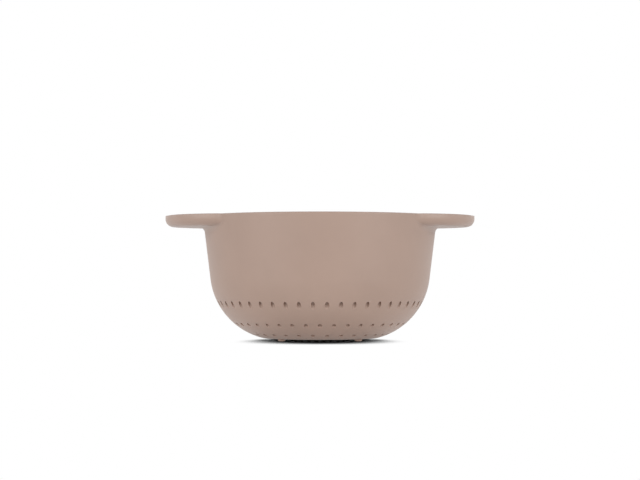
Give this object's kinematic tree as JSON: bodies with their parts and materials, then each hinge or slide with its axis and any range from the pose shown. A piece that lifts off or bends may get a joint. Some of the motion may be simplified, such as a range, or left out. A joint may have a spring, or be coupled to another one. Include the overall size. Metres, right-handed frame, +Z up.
{
  "type": "colander",
  "caption": "Round moulded colander with flat crescent handles level with its rim, rings of drain holes across the base and lower wall, and small pad feet.",
  "frame": {"origin": "on the surface the colander stands on, under the centre of its base", "axes": "+X from the left handle to the right one, +Y from the front to the rear, +Z up through the bowl's mouth"},
  "size_m": [0.3174, 0.2404, 0.1275],
  "materials": {
    "shell": "satin, dusty taupe",
    "grip": "soft satin, same taupe as the bowl",
    "foot": "matte, same taupe as the bowl"
  },
  "bodies": {
    "root": {"bowl": "shell", "left_handle": "grip", "right_handle": "grip", "front_left_foot": "foot", "front_right_foot": "foot", "rear_left_foot": "foot", "rear_right_foot": "foot"}
  },
  "joints": []
}
